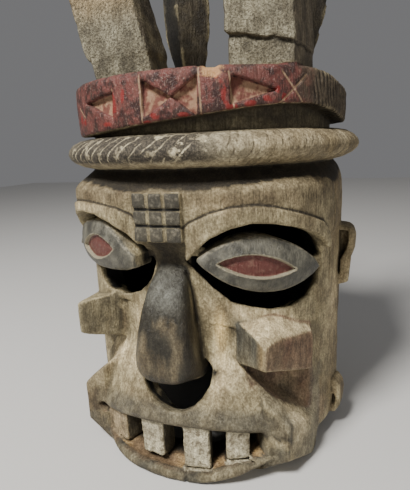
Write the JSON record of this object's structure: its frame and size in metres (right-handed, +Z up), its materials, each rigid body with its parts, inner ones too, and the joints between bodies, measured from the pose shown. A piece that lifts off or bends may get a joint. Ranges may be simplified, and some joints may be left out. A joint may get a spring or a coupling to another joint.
{
  "type": "wooden helmet mask",
  "caption": "Carved wooden helmet mask with a ringed and banded crown, bulging eyes, block cheeks, an open mouth with block teeth and upright posts on top, worn over the head.",
  "frame": {"origin": "middle of the whole mask at the foot, on the surface that the rim stands on", "axes": "+Z up along the log's axis, the face looks along -Y, +X is to the viewer's right as the face is looked at"},
  "size_m": [0.286, 0.294, 0.5],
  "materials": {
    "wood": "dry, worn and dusty, with old paint"
  },
  "bodies": {
    "root": {"mask": "wood"}
  },
  "joints": []
}
